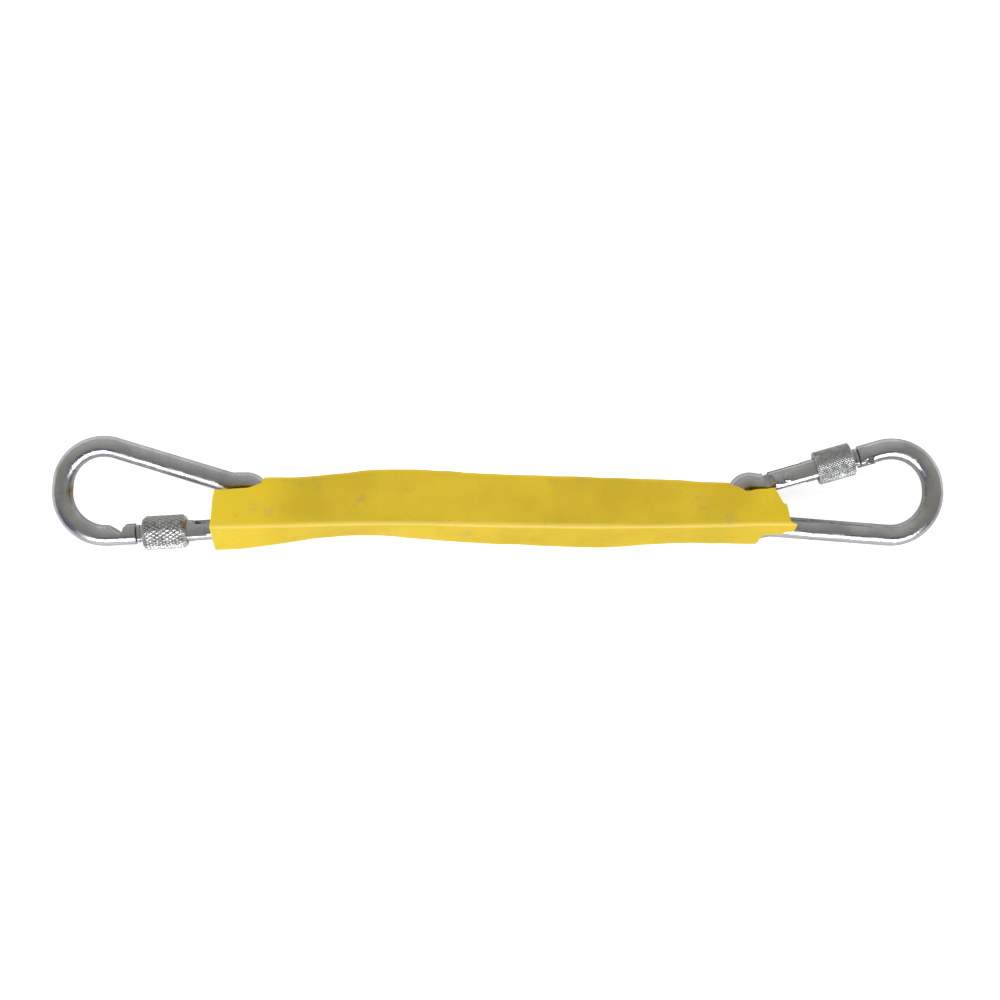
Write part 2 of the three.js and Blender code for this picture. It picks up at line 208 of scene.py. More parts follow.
def turned_piece(name, profile, place, steps=48, axis="X"):
    """Spins a profile of (x, radius) points round the x axis, or round z with axis="Z"."""
    bm = bmesh.new()
    points = [(x, radius, 0) if axis == "X" else (radius, 0, x) for x, radius in profile]
    verts = [bm.verts.new(point) for point in points]
    edges = [bm.edges.new(pair) for pair in zip(verts, verts[1:])]
    spin_axis = (1, 0, 0) if axis == "X" else (0, 0, 1)
    bmesh.ops.spin(bm, geom=verts + edges, cent=(0, 0, 0), axis=spin_axis, angle=math.tau, steps=steps,
                   use_merge=True, use_duplicate=False)
    bmesh.ops.remove_doubles(bm, verts=bm.verts[:], dist=1e-4)
    bmesh.ops.recalc_face_normals(bm, faces=bm.faces[:])
    return add_object(name, bm, place)


def plate_piece(name, outline, low, high, place):
    """A flat outline of (x, y) points, extruded from z = low to z = high."""
    bm = bmesh.new()
    face = bm.faces.new([bm.verts.new((x, y, low)) for x, y in outline])
    lifted = bmesh.ops.extrude_face_region(bm, geom=[face])["geom"]
    top = [item for item in lifted if isinstance(item, bmesh.types.BMVert)]
    bmesh.ops.translate(bm, vec=(0, 0, high - low), verts=top)
    bmesh.ops.recalc_face_normals(bm, faces=bm.faces[:])
    return add_object(name, bm, place)


# %% [markdown]
# ## Rounded outlines
# Bent wire is straight runs joined by arcs. A list of corners with a radius each says the same thing in a few
# numbers, so the wire, the notch and the sleeve's section are all kept in that form.

# %% Corners with radii
def corner_arc(before, here, after, radius):
    """Centre, start point and turning angle of the arc that rounds a corner."""
    back = (Vector(before) - Vector(here)).normalized()
    ahead = (Vector(after) - Vector(here)).normalized()
    half = math.acos(max(-1.0, min(1.0, back.dot(ahead)))) / 2
    centre = Vector(here) + (back + ahead).normalized() * (radius / math.sin(half))
    start = Vector(here) + back * (radius / math.tan(half))
    side = -1 if back.x * ahead.y - back.y * ahead.x > 0 else 1
    return centre, start, side * (math.pi - 2 * half)


def rounded(corners, closed=False):
    """Points along a line of (x, y, radius, steps) corners."""
    points = []
    count = len(corners)
    for i, corner in enumerate(corners):
        x, y, radius, steps = (*corner, 0, 0)[:4]
        if not radius or (not closed and i in (0, count - 1)):
            points.append(Vector((x, y)))
            continue
        before, after = Vector(corners[i - 1][:2]), Vector(corners[(i + 1) % count][:2])
        here = Vector((x, y))
        half = (before - here).angle(after - here) / 2
        shorter = min((before - here).length, (after - here).length)
        radius = min(radius, 0.49 * shorter * math.tan(half))
        centre, start, turn = corner_arc(before, here, after, radius)
        for k in range(steps + 1):
            arm = start - centre
            arm.rotate(Matrix.Rotation(turn * k / steps, 2))
            points.append(centre + arm)
    return points


# %% [markdown]
# ## Bent wire of the hooks
# The body of each hook is one 8 mm wire. It starts as a circle at the nose, is extruded along every straight and
# spun round every bend, just as the wire is bent round formers. Spinning keeps the section round in tight bends.

# %% Run a wire along its corners
WIRE_RADIUS = 4.0
GATE_REACH = 28.0
EYE_CENTRE = 53.2
EYE_RADIUS = 4.4


def wire_corners(hook):
    """The wire's centre line in the hook's frame: nose, wide bow, spine, small eye and hinge."""
    def along(distance):
        return (hook["hinge"] - distance * math.cos(SIDE_ANGLE),
                -side_line(hook, hook["hinge"]) - distance * math.sin(SIDE_ANGLE))

    bow = side_line(hook, -BOW_RADIUS)
    kink = EYE_CENTRE - 6.4
    bulge = EYE_RADIUS + 0.5
    end = EYE_CENTRE + EYE_RADIUS
    return [
        along(GATE_REACH),
        (-BOW_RADIUS, -bow, BOW_RADIUS, 40),
        (-BOW_RADIUS, bow, BOW_RADIUS, 40),
        (kink, side_line(hook, kink), 7, 8),
        (end, hook["spine_eye"] + bulge, EYE_RADIUS, 18),
        (end, -hook["gate_eye"] - bulge, EYE_RADIUS, 18),
        (*along(-10.4), 3, 8),
        along(3.2),
    ]


def extrude_ring(bm, ring, offset):
    """Extrudes an open ring of edges by an offset and returns the new ring."""
    made = bmesh.ops.extrude_edge_only(bm, edges=ring)["geom"]
    verts = [item for item in made if isinstance(item, bmesh.types.BMVert)]
    bmesh.ops.translate(bm, vec=offset, verts=verts)
    fresh = set(verts)
    return [edge for edge in bm.edges if edge.verts[0] in fresh and edge.verts[1] in fresh]


def run_wire(corners, radius, segments=32, spacing=2.5):
    bm = bmesh.new()
    heading = (Vector(corners[1][:2]) - Vector(corners[0][:2])).normalized()
    upright = Vector((0, 0, 1)).rotation_difference(Vector((*heading, 0))).to_matrix().to_4x4()
    start = Matrix.Translation((*corners[0][:2], 0)) @ upright
    bmesh.ops.create_circle(bm, segments=segments, radius=radius, matrix=start)
    bmesh.ops.contextual_create(bm, geom=bm.edges[:])
    ring = bm.edges[:]
    place = Vector(corners[0][:2])
    for i, corner in enumerate(corners[1:], start=1):
        last = i == len(corners) - 1
        if last:
            target, centre, turn = Vector(corner[:2]), None, 0
        else:
            centre, target, turn = corner_arc(corners[i - 1][:2], corner[:2], corners[i + 1][:2], corner[2])
        run = target - place
        pieces = max(1, round(run.length / spacing))
        for _ in range(pieces):
            ring = extrude_ring(bm, ring, (*(run / pieces), 0))
        place = target
        if last:
            break
        spun = bmesh.ops.spin(bm, geom=ring, cent=(*centre, 0), axis=(0, 0, 1), angle=turn,
                              steps=corner[3], use_duplicate=False)
        ring = [item for item in spun["geom_last"] if isinstance(item, bmesh.types.BMEdge)]
        arm = target - centre
        arm.rotate(Matrix.Rotation(turn, 2))
        place = centre + arm
    bmesh.ops.contextual_create(bm, geom=ring)
    bmesh.ops.recalc_face_normals(bm, faces=bm.faces[:])
    return bm


# %% Cut the nose, its slot and the hinge tongue
PIN_PLACE = (31.6, -2.6)
PIN_RADIUS = 1.0
FIT = 0.3
FAR = 9.0
TONGUE_START = -8.8
TONGUE_HALF = 1.5
TONGUE_SIDE = 3.0
RIVET_HOLE = 1.8
LATCH_SLOT_HALF = 1.1
LATCH_SLOT_END = 37.0
LATCH_SLOT_SIDE = 2.9


def rivet_hole(place):
    return turned_piece("rivet_hole", [(-FAR, 0), (-FAR, RIVET_HOLE), (FAR, RIVET_HOLE), (FAR, 0)], place, 32, "Z")


def nose_notch(pinned):
    """The notch on the inside of the nose, in the gate's frame."""
    if pinned:
        half = PIN_RADIUS + FIT
        x, y = PIN_PLACE
        return rounded([(x + half, -6), (x + half, y + half, half * 0.98, 8),
                        (x - half, y + half, half * 0.98, 8), (x - half, -6)])
    return rounded([(39.3, -6), (38.6, -4.1), (33.9, -0.3, 0.9, 8), (32.9, -1.2, 0.8, 6),
                    (32.5, -3.3, 2.2, 12), (29.6, -4.4, 3, 10), (27.0, -3.2), (27.0, -6)])


def make_hook(side):
    hook = SIDES[side]
    gate = gate_matrix(side)
    body = add_object(f"{side}_hook_wire", run_wire(wire_corners(hook), WIRE_RADIUS), hook_matrix(side))
    notch = [tuple(point) for point in nose_notch(hook["pinned"])]
    cut(body, [
        box_piece("tongue_top", (TONGUE_START, -FAR, TONGUE_HALF), (FAR, FAR, FAR), gate),
        box_piece("tongue_under", (TONGUE_START, -FAR, -FAR), (FAR, FAR, -TONGUE_HALF), gate),
        box_piece("tongue_outer", (TONGUE_START, TONGUE_SIDE, -FAR), (FAR, FAR, FAR), gate),
        box_piece("tongue_inner", (TONGUE_START, -FAR, -FAR), (FAR, -TONGUE_SIDE, FAR), gate),
        rivet_hole(gate),
        box_piece("latch_slot", (GATE_REACH - 1, -FAR, -LATCH_SLOT_HALF),
                  (LATCH_SLOT_END, LATCH_SLOT_SIDE, LATCH_SLOT_HALF), gate),
        plate_piece("notch", notch, -FAR, FAR, gate),
    ])
    wear_edges(body, 0.22)
    smooth(body, 40)
    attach(body, f"{side}_hook")
    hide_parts(f"hook_{side}")
    return body


hook_pieces = [make_hook(side) for side in SIDES]
print("hook wires", [len(piece.data.polygons) for piece in hook_pieces], "faces")

# %% [markdown]
# ## Gates
# A gate is a turned bar with a fork at the hinge, a chamber for its spring, a narrow neck at the nose and a thin
# latch that enters the nose. It is spun from a profile and cut like the real one is milled.

# %% Turn and mill the gates
FORK_BACK = -6.8
BAR_RADIUS = 4.0
NECK_START = 25.2
NECK_RADIUS = 3.1
GATE_END = 27.6
FORK_SLOT_HALF = 1.8
FORK_SLOT_END = 6.5
SPRING_BORE = 1.95
SPRING_BORE_END = 19.2
LATCH_HALF = 0.8


def make_gate(side):
    hook = SIDES[side]
    place = gate_matrix(side)
    bar = turned_piece(f"{side}_gate_bar", [
        (FORK_BACK, 0), (FORK_BACK, BAR_RADIUS - 0.4), (FORK_BACK + 0.4, BAR_RADIUS), (24.6, BAR_RADIUS),
        (NECK_START, NECK_RADIUS), (26.3, NECK_RADIUS), (26.45, 3.35), (27.4, 3.35), (GATE_END, NECK_RADIUS),
        (GATE_END, 0)], place, 48)
    tip = PIN_PLACE[0] + 2 if hook["pinned"] else 32.2
    inside = -4.1 if hook["pinned"] else -3.0
    latch = box_piece("latch", (26.6, inside, -LATCH_HALF), (tip, 2.6, LATCH_HALF), place)
    join = bar.modifiers.new("latch", "BOOLEAN")
    join.operation = "UNION"
    join.object = latch
    bpy.context.view_layer.update()
    apply_modifiers(bar)
    bpy.data.objects.remove(latch)
    bevel = [(-3.4, 5.0), (-7.8, 5.0), (-7.8, 1.4)]
    lay_up = Matrix.Rotation(math.pi / 2, 4, "X")
    lay_down = Matrix.Rotation(-math.pi / 2, 4, "X")
    cutters = [
        box_piece("fork_slot", (-8, -FAR, -FORK_SLOT_HALF), (FORK_SLOT_END, FAR, FORK_SLOT_HALF), place),
        turned_piece("spring_bore", [(6, 0), (6, SPRING_BORE), (SPRING_BORE_END, SPRING_BORE),
                                     (SPRING_BORE_END, 0)], place, 32),
        rivet_hole(place),
        plate_piece("bevel_top", bevel, -FAR, FAR, place @ lay_up),
        plate_piece("bevel_under", bevel, -FAR, FAR, place @ lay_down),
    ]
    if side == "left":
        cutters.append(box_piece("worn_slot_lip", (1.4, -5.0, 1.0), (5.3, -2.2, 2.9), place))
    if hook["pinned"]:
        pin_place = place @ Matrix.Translation((*PIN_PLACE, 0))
        hole = PIN_RADIUS + FIT
        outline = [(-FAR, 0), (-FAR, hole), (FAR, hole), (FAR, 0)]
        cutters.append(turned_piece("pin_hole", outline, pin_place, 24, "Z"))
    cut(bar, cutters)
    wear_edges(bar, 0.18)
    smooth(bar, 40)
    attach(bar, f"{side}_gate")
    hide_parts(f"gate_{side}")
    return bar


gate_pieces = [make_gate(side) for side in SIDES]
print("gates", [len(piece.data.polygons) for piece in gate_pieces], "faces")


# %% Rivets and the latch pin
def make_rivet(side):
    dome = [(4.1 + 0.8 * math.sin(angle), 1.85 * math.cos(angle))
            for angle in (math.radians(step * 15) for step in range(7))]
    upper = [(4.1, 1.5)] + dome
    profile = [(-x, radius) for x, radius in reversed(upper)] + upper
    rivet = turned_piece(f"{side}_rivet_domed", profile, gate_matrix(side), 32, "Z")
    smooth(rivet, 50)
    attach(rivet, f"{side}_hook")
    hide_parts(f"rivet_{side}")
    return rivet


rivet_pieces = [make_rivet(side) for side in SIDES]
pin_profile = [(-3.1, 0), (-3.1, 0.8), (-2.9, 1.0), (2.9, 1.0), (3.1, 0.8), (3.1, 0)]
pin_place = gate_matrix("right") @ Matrix.Translation((*PIN_PLACE, 0))
latch_pin = turned_piece("right_latch_pin", pin_profile, pin_place, 24, "Z")
smooth(latch_pin)
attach(latch_pin, "right_gate")
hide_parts("latch_pin_right")
print("rivets and pin made")

# %% [markdown]
# ## Springs and plungers
# Inside each gate a small coil spring pushes a plunger against the hinge tongue, so the gate snaps shut. The
# spring is a ring of wire spun round the gate's axis while it moves along it. The real one shortens as the gate
# opens; this one is a fixed shape carried by the gate.

# %% Wind the springs and turn the plungers
SPRING_START, SPRING_END, SPRING_RADIUS, SPRING_WIRE, SPRING_TURNS = 8.9, 18.6, 1.4, 0.22, 6


def make_spring(side):
    bm = bmesh.new()
    steps = SPRING_TURNS * 24
    run = SPRING_END - SPRING_START - 2 * SPRING_WIRE
    start = Matrix.Translation((SPRING_START + SPRING_WIRE, SPRING_RADIUS, 0))
    bmesh.ops.create_circle(bm, segments=8, radius=SPRING_WIRE, matrix=start)
    ring = bm.edges[:]
    bmesh.ops.contextual_create(bm, geom=ring)
    wound = bmesh.ops.spin(bm, geom=ring, cent=(0, 0, 0), axis=(1, 0, 0), dvec=(run / steps, 0, 0),
                           angle=math.tau * SPRING_TURNS, steps=steps, use_duplicate=False)
    bmesh.ops.contextual_create(bm, geom=[e for e in wound["geom_last"] if isinstance(e, bmesh.types.BMEdge)])
    bmesh.ops.recalc_face_normals(bm, faces=bm.faces[:])
    gate = gate_matrix(side)
    spring = add_object(f"{side}_coil_spring", bm, gate)
    smooth(spring)
    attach(spring, f"{side}_gate")
    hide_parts(f"spring_{side}")
    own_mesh(spring)
    return spring


def make_plunger(side):
    nose = [(4.4 - 0.8 * math.sin(angle), 1.5 * math.cos(angle))
            for angle in (math.radians(90 - step * 15) for step in range(7))]
    profile = nose + [(8.1, 1.5), (8.3, 1.3), (8.3, 0)]
    plunger = turned_piece(f"{side}_plunger_turned", profile, gate_matrix(side), 32)
    smooth(plunger, 40)
    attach(plunger, f"{side}_plunger")
    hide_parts(f"plunger_{side}")
    return plunger


inner_pieces = [make(side) for make in (make_spring, make_plunger) for side in SIDES]
print("springs and plungers", [len(piece.data.polygons) for piece in inner_pieces], "faces")

# %% [markdown]
# ## Knurled nuts
# The nuts are turned, then rolled between knurling wheels that press two sets of slanted grooves, which leaves
# diamonds. A fine spun cylinder has its outer points moved in by the deeper of two helical grooves. Two sine
# waves would give soft bumps, so each groove is a V made from a triangle wave.

# %% Knurl a nut
NUTS = {
    "left": {"start": 8.8, "length": 16.4, "radius": 6.4, "edge": 1.3, "starts": 26, "lean": 0.62, "deep": 0.5},
    "right": {"start": 11.2, "length": 14.1, "radius": 6.25, "edge": 0.5, "starts": 40, "lean": 0.9, "deep": 0.34},
}


def groove(turns):
    """A triangle wave from 0 at a ridge to 1 at the bottom of a groove."""
    return 2 * abs(turns - math.floor(turns + 0.5))


def make_nut(side):
    nut = NUTS[side]
    start, end, radius, edge = nut["start"], nut["start"] + nut["length"], nut["radius"], nut["edge"]
    middle = (start + end) / 2
    rows = 60
    barrel = [(start + edge + (end - start - 2 * edge) * k / rows, radius) for k in range(rows + 1)]
    profile = ([(start, 4.35), (start, radius - edge * 0.9)] + barrel
               + [(end, radius - edge * 0.9), (end, 4.6), (start + 5.9, 4.6), (start + 5.6, 4.35), (start, 4.35)])
    bm = bmesh.new()
    verts = [bm.verts.new((x - middle, r, 0)) for x, r in profile[:-1]]
    edges = [bm.edges.new((verts[k], verts[(k + 1) % len(verts)])) for k in range(len(verts))]
    bmesh.ops.spin(bm, geom=verts + edges, cent=(0, 0, 0), axis=(1, 0, 0), angle=math.tau,
                   steps=nut["starts"] * 8, use_merge=True, use_duplicate=False)
    bmesh.ops.remove_doubles(bm, verts=bm.verts[:], dist=1e-4)
    bmesh.ops.recalc_face_normals(bm, faces=bm.faces[:])
    grooves = bm.verts.layers.float.new("groove")
    for vert in bm.verts:
        distance = math.hypot(vert.co.y, vert.co.z)
        if distance < radius - edge * 0.5:
            continue
        turn = math.atan2(vert.co.z, vert.co.y) / math.tau * nut["starts"]
        slant = vert.co.x * nut["lean"] * nut["starts"] / (math.tau * radius)
        depth = max(groove(turn + slant), groove(turn - slant)) ** 2
        uneven = 0.8 + 0.4 * noise.noise(vert.co * 0.6)
        vert[grooves] = depth * uneven
        shrink = 1 - nut["deep"] * depth * uneven / distance
        vert.co.y *= shrink
        vert.co.z *= shrink
    travel = Vector(joints[f"{side}_nut_travel"]["axis"])
    gate = gate_matrix(side)
    local = gate.to_3x3().inverted() @ travel
    tilt = Matrix.Rotation(math.atan2(local.y, local.x), 4, "Z")
    piece = add_object(f"{side}_nut_knurled", bm, gate @ Matrix.Translation((middle, 0, 0)) @ tilt)
    smooth(piece, 30)
    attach(piece, f"{side}_nut")
    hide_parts(f"locking_nut_{side}")
    return piece


nut_pieces = [make_nut(side) for side in SIDES]
print("nuts", [len(piece.data.polygons) for piece in nut_pieces], "faces")

# %% [markdown]
# ## Sleeve
# The sleeve is a length of thin lay-flat vinyl tube. One of its factory creases stands up as a ridge, and the
# hooks' eyes push its ends out. It is drawn as a grid wrapped round sections that change along its length: the
# corners of a section move smoothly from station to station. Then it gets its wall, and its worn ends are cut.

# %% Sections along the sleeve
STATIONS = [  # x, top edge, ridge, low edge, shoulder height, ridge height, low side height
    (-108.2, 5.8, -12.4, -20.8, 15.6, 17.6, 8.0), (-87.0, 6.1, -12.0, -19.5, 15.6, 17.4, 8.0),
    (-67.0, 7.0, -11.6, -17.0, 11.5, 17.0, 5.0), (-48.0, 9.1, -11.3, -15.5, 9.0, 16.5, 4.0),
    (-27.0, 8.9, -11.4, -17.1, 8.0, 16.2, 3.5), (0.0, 7.5, -11.8, -19.2, 7.5, 16.0, 3.5),
    (35.0, 6.7, -12.3, -20.3, 7.5, 15.6, 3.5), (59.0, 5.5, -12.2, -19.2, 9.5, 15.8, 5.0),
    (80.0, 4.6, -11.8, -18.7, 14.0, 16.6, 8.0), (97.0, 4.2, -11.3, -18.9, 14.6, 16.6, 8.0),
    (112.0, 4.0, -11.4, -18.0, 14.4, 16.0, 8.0),
]
CENTRING = Vector((0.3, -0.3, 0))


def station_at(x):
    """The section's six values at x, on a smooth curve through the stations."""
    last = len(STATIONS) - 1
    i = max(k for k in range(last) if STATIONS[k][0] <= x + 1e-9)
    before, here, after, beyond = (STATIONS[max(0, min(last, i + k))] for k in (-1, 0, 1, 2))
    t = (x - here[0]) / (after[0] - here[0])
    span = after[0] - here[0]
    values = []
    for column in range(1, 7):
        enter = (after[column] - before[column]) / (after[0] - before[0]) * span
        leave = (beyond[column] - here[column]) / (beyond[0] - here[0]) * span
        values.append((2 * t**3 - 3 * t**2 + 1) * here[column] + (t**3 - 2 * t**2 + t) * enter
                      + (3 * t**2 - 2 * t**3) * after[column] + (t**3 - t**2) * leave)
    return values


def section_points(x):
    """The outline at x as an equal number of points on every section, and how near each is to the ridge."""
    top, ridge, low, shoulder, height, low_height = station_at(x)
    corners = [(top - 0.9, 0, 1.6), (top, shoulder, 2.4), (ridge, height, 0.7), (low, low_height, 3.0),
               (low + 0.9, 0, 1.4)]
    fill = (6, 18, 12, 5, 18)
    arc_steps = 6
    arcs = []
    for i, (y, z, radius) in enumerate(corners):
        centre, start, turn = corner_arc(corners[i - 1][:2], (y, z), corners[(i + 1) % 5][:2], radius)
        arc = []
        for k in range(arc_steps + 1):
            arm = start - centre
            arm.rotate(Matrix.Rotation(turn * k / arc_steps, 2))
            arc.append(centre + arm)
        arcs.append(arc)
    points = []
    for i, arc in enumerate(arcs):
        points += [(point, 1.0 if i == 2 else 0.0) for point in arc]
        following = arcs[(i + 1) % 5][0]
        points += [(arc[-1].lerp(following, k / (fill[i] + 1)), 0.0) for k in range(1, fill[i] + 1)]
    return points


def slack(x, y, z):
    """How far loose vinyl stands off its ideal surface: folds, dents, and room for the left gate's tail."""
    folds = noise.noise(Vector((x * 0.03, y * 0.09, z * 0.09))) * 0.55
    dents = noise.noise(Vector((x * 0.12 + 7, y * 0.16, z * 0.16))) * 0.22
    diagonal = math.exp(-((x + 78 - (y - 5) * 1.6) / 7) ** 2) * 0.5 * max(0.0, min(1.0, (z - 6) / 4))
    calm = 1 - 0.65 * max(0.0, min(1.0, (abs(x) - 80) / 15))
    pushed = 0.5 * max(0.0, min(1.0, (-88 - x) / 8)) * max(0.0, min(1.0, (-13 - y) / 3))
    return (folds + dents - diagonal) * calm + pushed


# %% Wrap the grid and give it a wall
ROUND = len(section_points(0.0))
ALONG = 150


def sleeve_shell():
    bm = bmesh.new()
    bmesh.ops.create_grid(bm, x_segments=ALONG, y_segments=ROUND, size=0.5)
    first, last = STATIONS[0][0], STATIONS[-1][0]
    crease = bm.verts.layers.float.new("crease")
    sections = {}
    for vert in bm.verts:
        column = round((vert.co.x + 0.5) * ALONG)
        row = round((vert.co.y + 0.5) * ROUND) % ROUND
        x = first + (last - first) * column / ALONG
        if column not in sections:
            sections[column] = section_points(x)
        (y, z), near = sections[column][row]
        (y0, z0), _ = sections[column][row - 1]
        (y1, z1), _ = sections[column][(row + 1) % ROUND]
        outward = Vector((0, z1 - z0, y0 - y1)).normalized()
        lift = slack(x, y, z) * max(0.0, min(1.0, z / 4)) * (1 - near)
        vert.co = (Vector((x, y, z)) + outward * lift + CENTRING) * MM
        vert[crease] = near
    bmesh.ops.remove_doubles(bm, verts=bm.verts[:], dist=1e-6)
    bmesh.ops.recalc_face_normals(bm, faces=bm.faces[:])
    shell = add_object("sleeve_shell", bm)
    wall = shell.modifiers.new("wall", "SOLIDIFY")
    wall.thickness = 0.75 * MM
    wall.offset = -1
    apply_modifiers(shell)
    return shell


shell = sleeve_shell()
print("sleeve wall", len(shell.data.polygons), "faces")

# %% Cut the worn ends
TO_ROW = Matrix.Translation(CENTRING * MM) @ Matrix.Scale(MM, 4)
left_cut = rounded([(-120, 1.5), (-110, 1.5), (-101, 1.7, 12, 6), (-93.0, 2.3, 6, 6), (-88.3, 4.0, 3, 6),
                    (-86.6, 7.2, 2, 4), (-86.3, 20), (-120, 20)])
right_cut = rounded([
    (85.6, 20), (85.9, 5.6), (86.9, 3.6, 0.6, 3), (90.0, 2.6, 3, 4), (93.2, 0.9, 1.6, 5), (96.5, 1.7, 5, 5),
    (100.5, 1.9, 3, 3), (103.3, 2.4, 0.8, 4), (105.0, -0.5, 1.2, 4), (106.4, -3.2, 0.5, 3), (107.9, -4.0, 0.8, 4),
    (108.6, -7.0, 3, 3), (109.2, -10.2, 0.8, 3), (111.7, -11.3, 0.5, 3), (110.9, -13.7, 1.2, 4),
    (107.0, -14.6, 3, 4), (101.5, -16.1, 3, 4), (97.2, -17.3, 1, 3), (96.8, -30), (140, -30), (140, 20)])
left_edge = [(-120, 30), (-105.4, 30), (-105.6, 1.5), (-106.4, -2.2), (-106.9, -9.0), (-107.5, -12.0),
             (-107.0, -15.0), (-106.2, -20.6), (-106.2, -30), (-120, -30)]
cut(shell, [
    plate_piece("left_end", left_edge, -3, 40, TO_ROW),
    plate_piece("left_opening", [tuple(point) for point in left_cut], 1.2, 40, TO_ROW),
    plate_piece("right_opening", [tuple(point) for point in right_cut], 1.2, 40,
                Matrix.Translation((-0.8 * MM, 0, 0)) @ TO_ROW),
    box_piece("right_side_opening", (84.6, 2.4, 1.2), (140, 40, 12.6), TO_ROW),
    box_piece("under_end", (97.8, -40, -3), (140, 40, 12), TO_ROW),
], "MANIFOLD")
print("after cutting", len(shell.data.polygons), "faces")

# %% [markdown]
# ## Two halves of the sleeve
# A piece can bend between two bodies only, and the sleeve meets three: the soft link and a hook at each end. So it
# is split at mid-length, and the split stays invisible because both halves keep the shading normals of the whole.

# %% Split and keep the shading
smooth(shell, 45)


def half_of(whole, name, sign, angle=45):
    """The part of a piece on one side of x = 0, with the whole's normals along the split."""
    points = KDTree(len(whole.data.vertices))
    for vert in whole.data.vertices:
        points.insert(vert.co, vert.index)
    points.balance()
    bm = bmesh.new()
    bm.from_mesh(whole.data)
    bmesh.ops.bisect_plane(bm, geom=bm.verts[:] + bm.edges[:] + bm.faces[:], dist=1e-7, plane_co=(0, 0, 0),
                           plane_no=(-sign, 0, 0), clear_outer=True)
    half = add_object(name, bm)
    smooth(half, angle)
    mesh = half.data
    normals = [Vector(item.vector) for item in mesh.corner_normals]
    for loop in mesh.loops:
        place = mesh.vertices[loop.vertex_index].co
        if abs(place.x) < 1e-5:
            _, index, _ = points.find(place)
            normals[loop.index] = whole.data.vertices[index].normal
    mesh.normals_split_custom_set(normals)
    return half


def half_sleeve(side, sign):
    half = half_of(shell, f"{side}_sleeve_half", sign)
    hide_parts("sleeve")
    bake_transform(half)
    return half


sleeve_pieces = [half_sleeve("left", -1), half_sleeve("right", 1)]
bpy.data.objects.remove(shell)
print("sleeve halves", [len(piece.data.polygons) for piece in sleeve_pieces], "faces")

# %% [markdown]
# ## Strap
# The load is carried by an endless woven strap round both eyes. Only its folds can be seen, through the sleeve's
# ends. Its CAD solid has the right run, so a merged copy of it is rounded at the edges and given a weave.

# %% Strap and stitches
def softened_copy(node, name, width, segments):
    bm = bmesh.new()
    bm.from_mesh(frame["nodes"][node].data)
    bmesh.ops.remove_doubles(bm, verts=bm.verts[:], dist=1e-6)
    bmesh.ops.dissolve_limit(bm, angle_limit=math.radians(1), verts=bm.verts[:], edges=bm.edges[:])
    sharp = [edge for edge in bm.edges if len(edge.link_faces) == 2 and edge.calc_face_angle() > math.radians(50)]
    bmesh.ops.bevel(bm, geom=sharp, offset=width, offset_type="OFFSET", affect="EDGES", segments=segments,
                    profile=0.5, material=-1)
    piece = add_object(name, bm)
    smooth(piece, 40)
    return piece


strap = softened_copy("strap", "woven_strap", 0.35 * MM, 3)


def half_strap(side, sign):
    half = half_of(strap, f"{side}_strap_half", sign, 40)
    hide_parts("strap")
    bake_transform(half)
    return half


strap_pieces = [half_strap("left", -1), half_strap("right", 1)]
bpy.data.objects.remove(strap)


def make_stitches(side):
    """Rows of short threads: each stitch is a low rounded bar of a few faces."""
    low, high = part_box(f"strap_stitching_{side}")
    bm = bmesh.new()
    rows, columns = 5, 9
    for row in range(rows):
        for column in range(columns):
            made = bmesh.ops.create_cone(bm, cap_ends=True, segments=8, radius1=0.25 * MM, radius2=0.25 * MM,
                                         depth=1.5 * MM, matrix=Matrix.Rotation(math.pi / 2, 4, "Y"))
            x = low[0] + (high[0] - low[0]) * (column + 0.5) / columns
            y = low[1] + (high[1] - low[1]) * (row + 0.5) / rows
            bmesh.ops.translate(bm, vec=(x, y, low[2] + 0.0002), verts=made["verts"])
    piece = add_object(f"{side}_stitches", bm)
    smooth(piece, 50)
    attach(piece, "soft_link")
    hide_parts(f"strap_stitching_{side}")
    return piece


stitch_pieces = [make_stitches(side) for side in SIDES]
print("strap halves", [len(piece.data.polygons) for piece in strap_pieces], "faces")

# %% [markdown]
# ## Materials
# Zinc plating is bright but never a mirror: drawn wire carries fine lines, handling leaves dull patches, and old
# grease stains it yellow; the knurl grooves of the nuts get painted shade. Vinyl is satin, slightly see-through at
# thin edges, lighter along a hard crease from stress whitening and a painted highlight, given a painted highlight
# at its left end and a few patches of painted shade, and it picks up grey scuffs and dark specks. Patterns used by
# several materials are node groups.

# %% Node helpers
def new_group(name, inputs, outputs):
    group = bpy.data.node_groups.new(name, "ShaderNodeTree")
    for label, kind, value in inputs:
        socket = group.interface.new_socket(label, in_out="INPUT", socket_type=kind)
        if value is not None:
            socket.default_value = value
    for label, kind in outputs:
        group.interface.new_socket(label, in_out="OUTPUT", socket_type=kind)
    return group, group.nodes.new("NodeGroupInput"), group.nodes.new("NodeGroupOutput")


def add_node(tree, kind, settings=None, **values):
    node = tree.nodes.new(kind)
    for name, value in (settings or {}).items():
        setattr(node, name, value)
    for label, value in values.items():
        node.inputs[label.replace("_", " ")].default_value = value
    return node


def ramp(tree, source, stops):
    """A colour ramp fed by a socket; stops are (position, grey or colour)."""
    node = tree.nodes.new("ShaderNodeValToRGB")
    elements = node.color_ramp.elements
    while len(elements) < len(stops):
        elements.new(0.5)
    for element, (position, tone) in zip(elements, stops):
        element.position = position
        element.color = (*tone, 1) if isinstance(tone, tuple) else (tone, tone, tone, 1)
    tree.links.new(source, node.inputs["Fac"])
    return node.outputs["Color"]


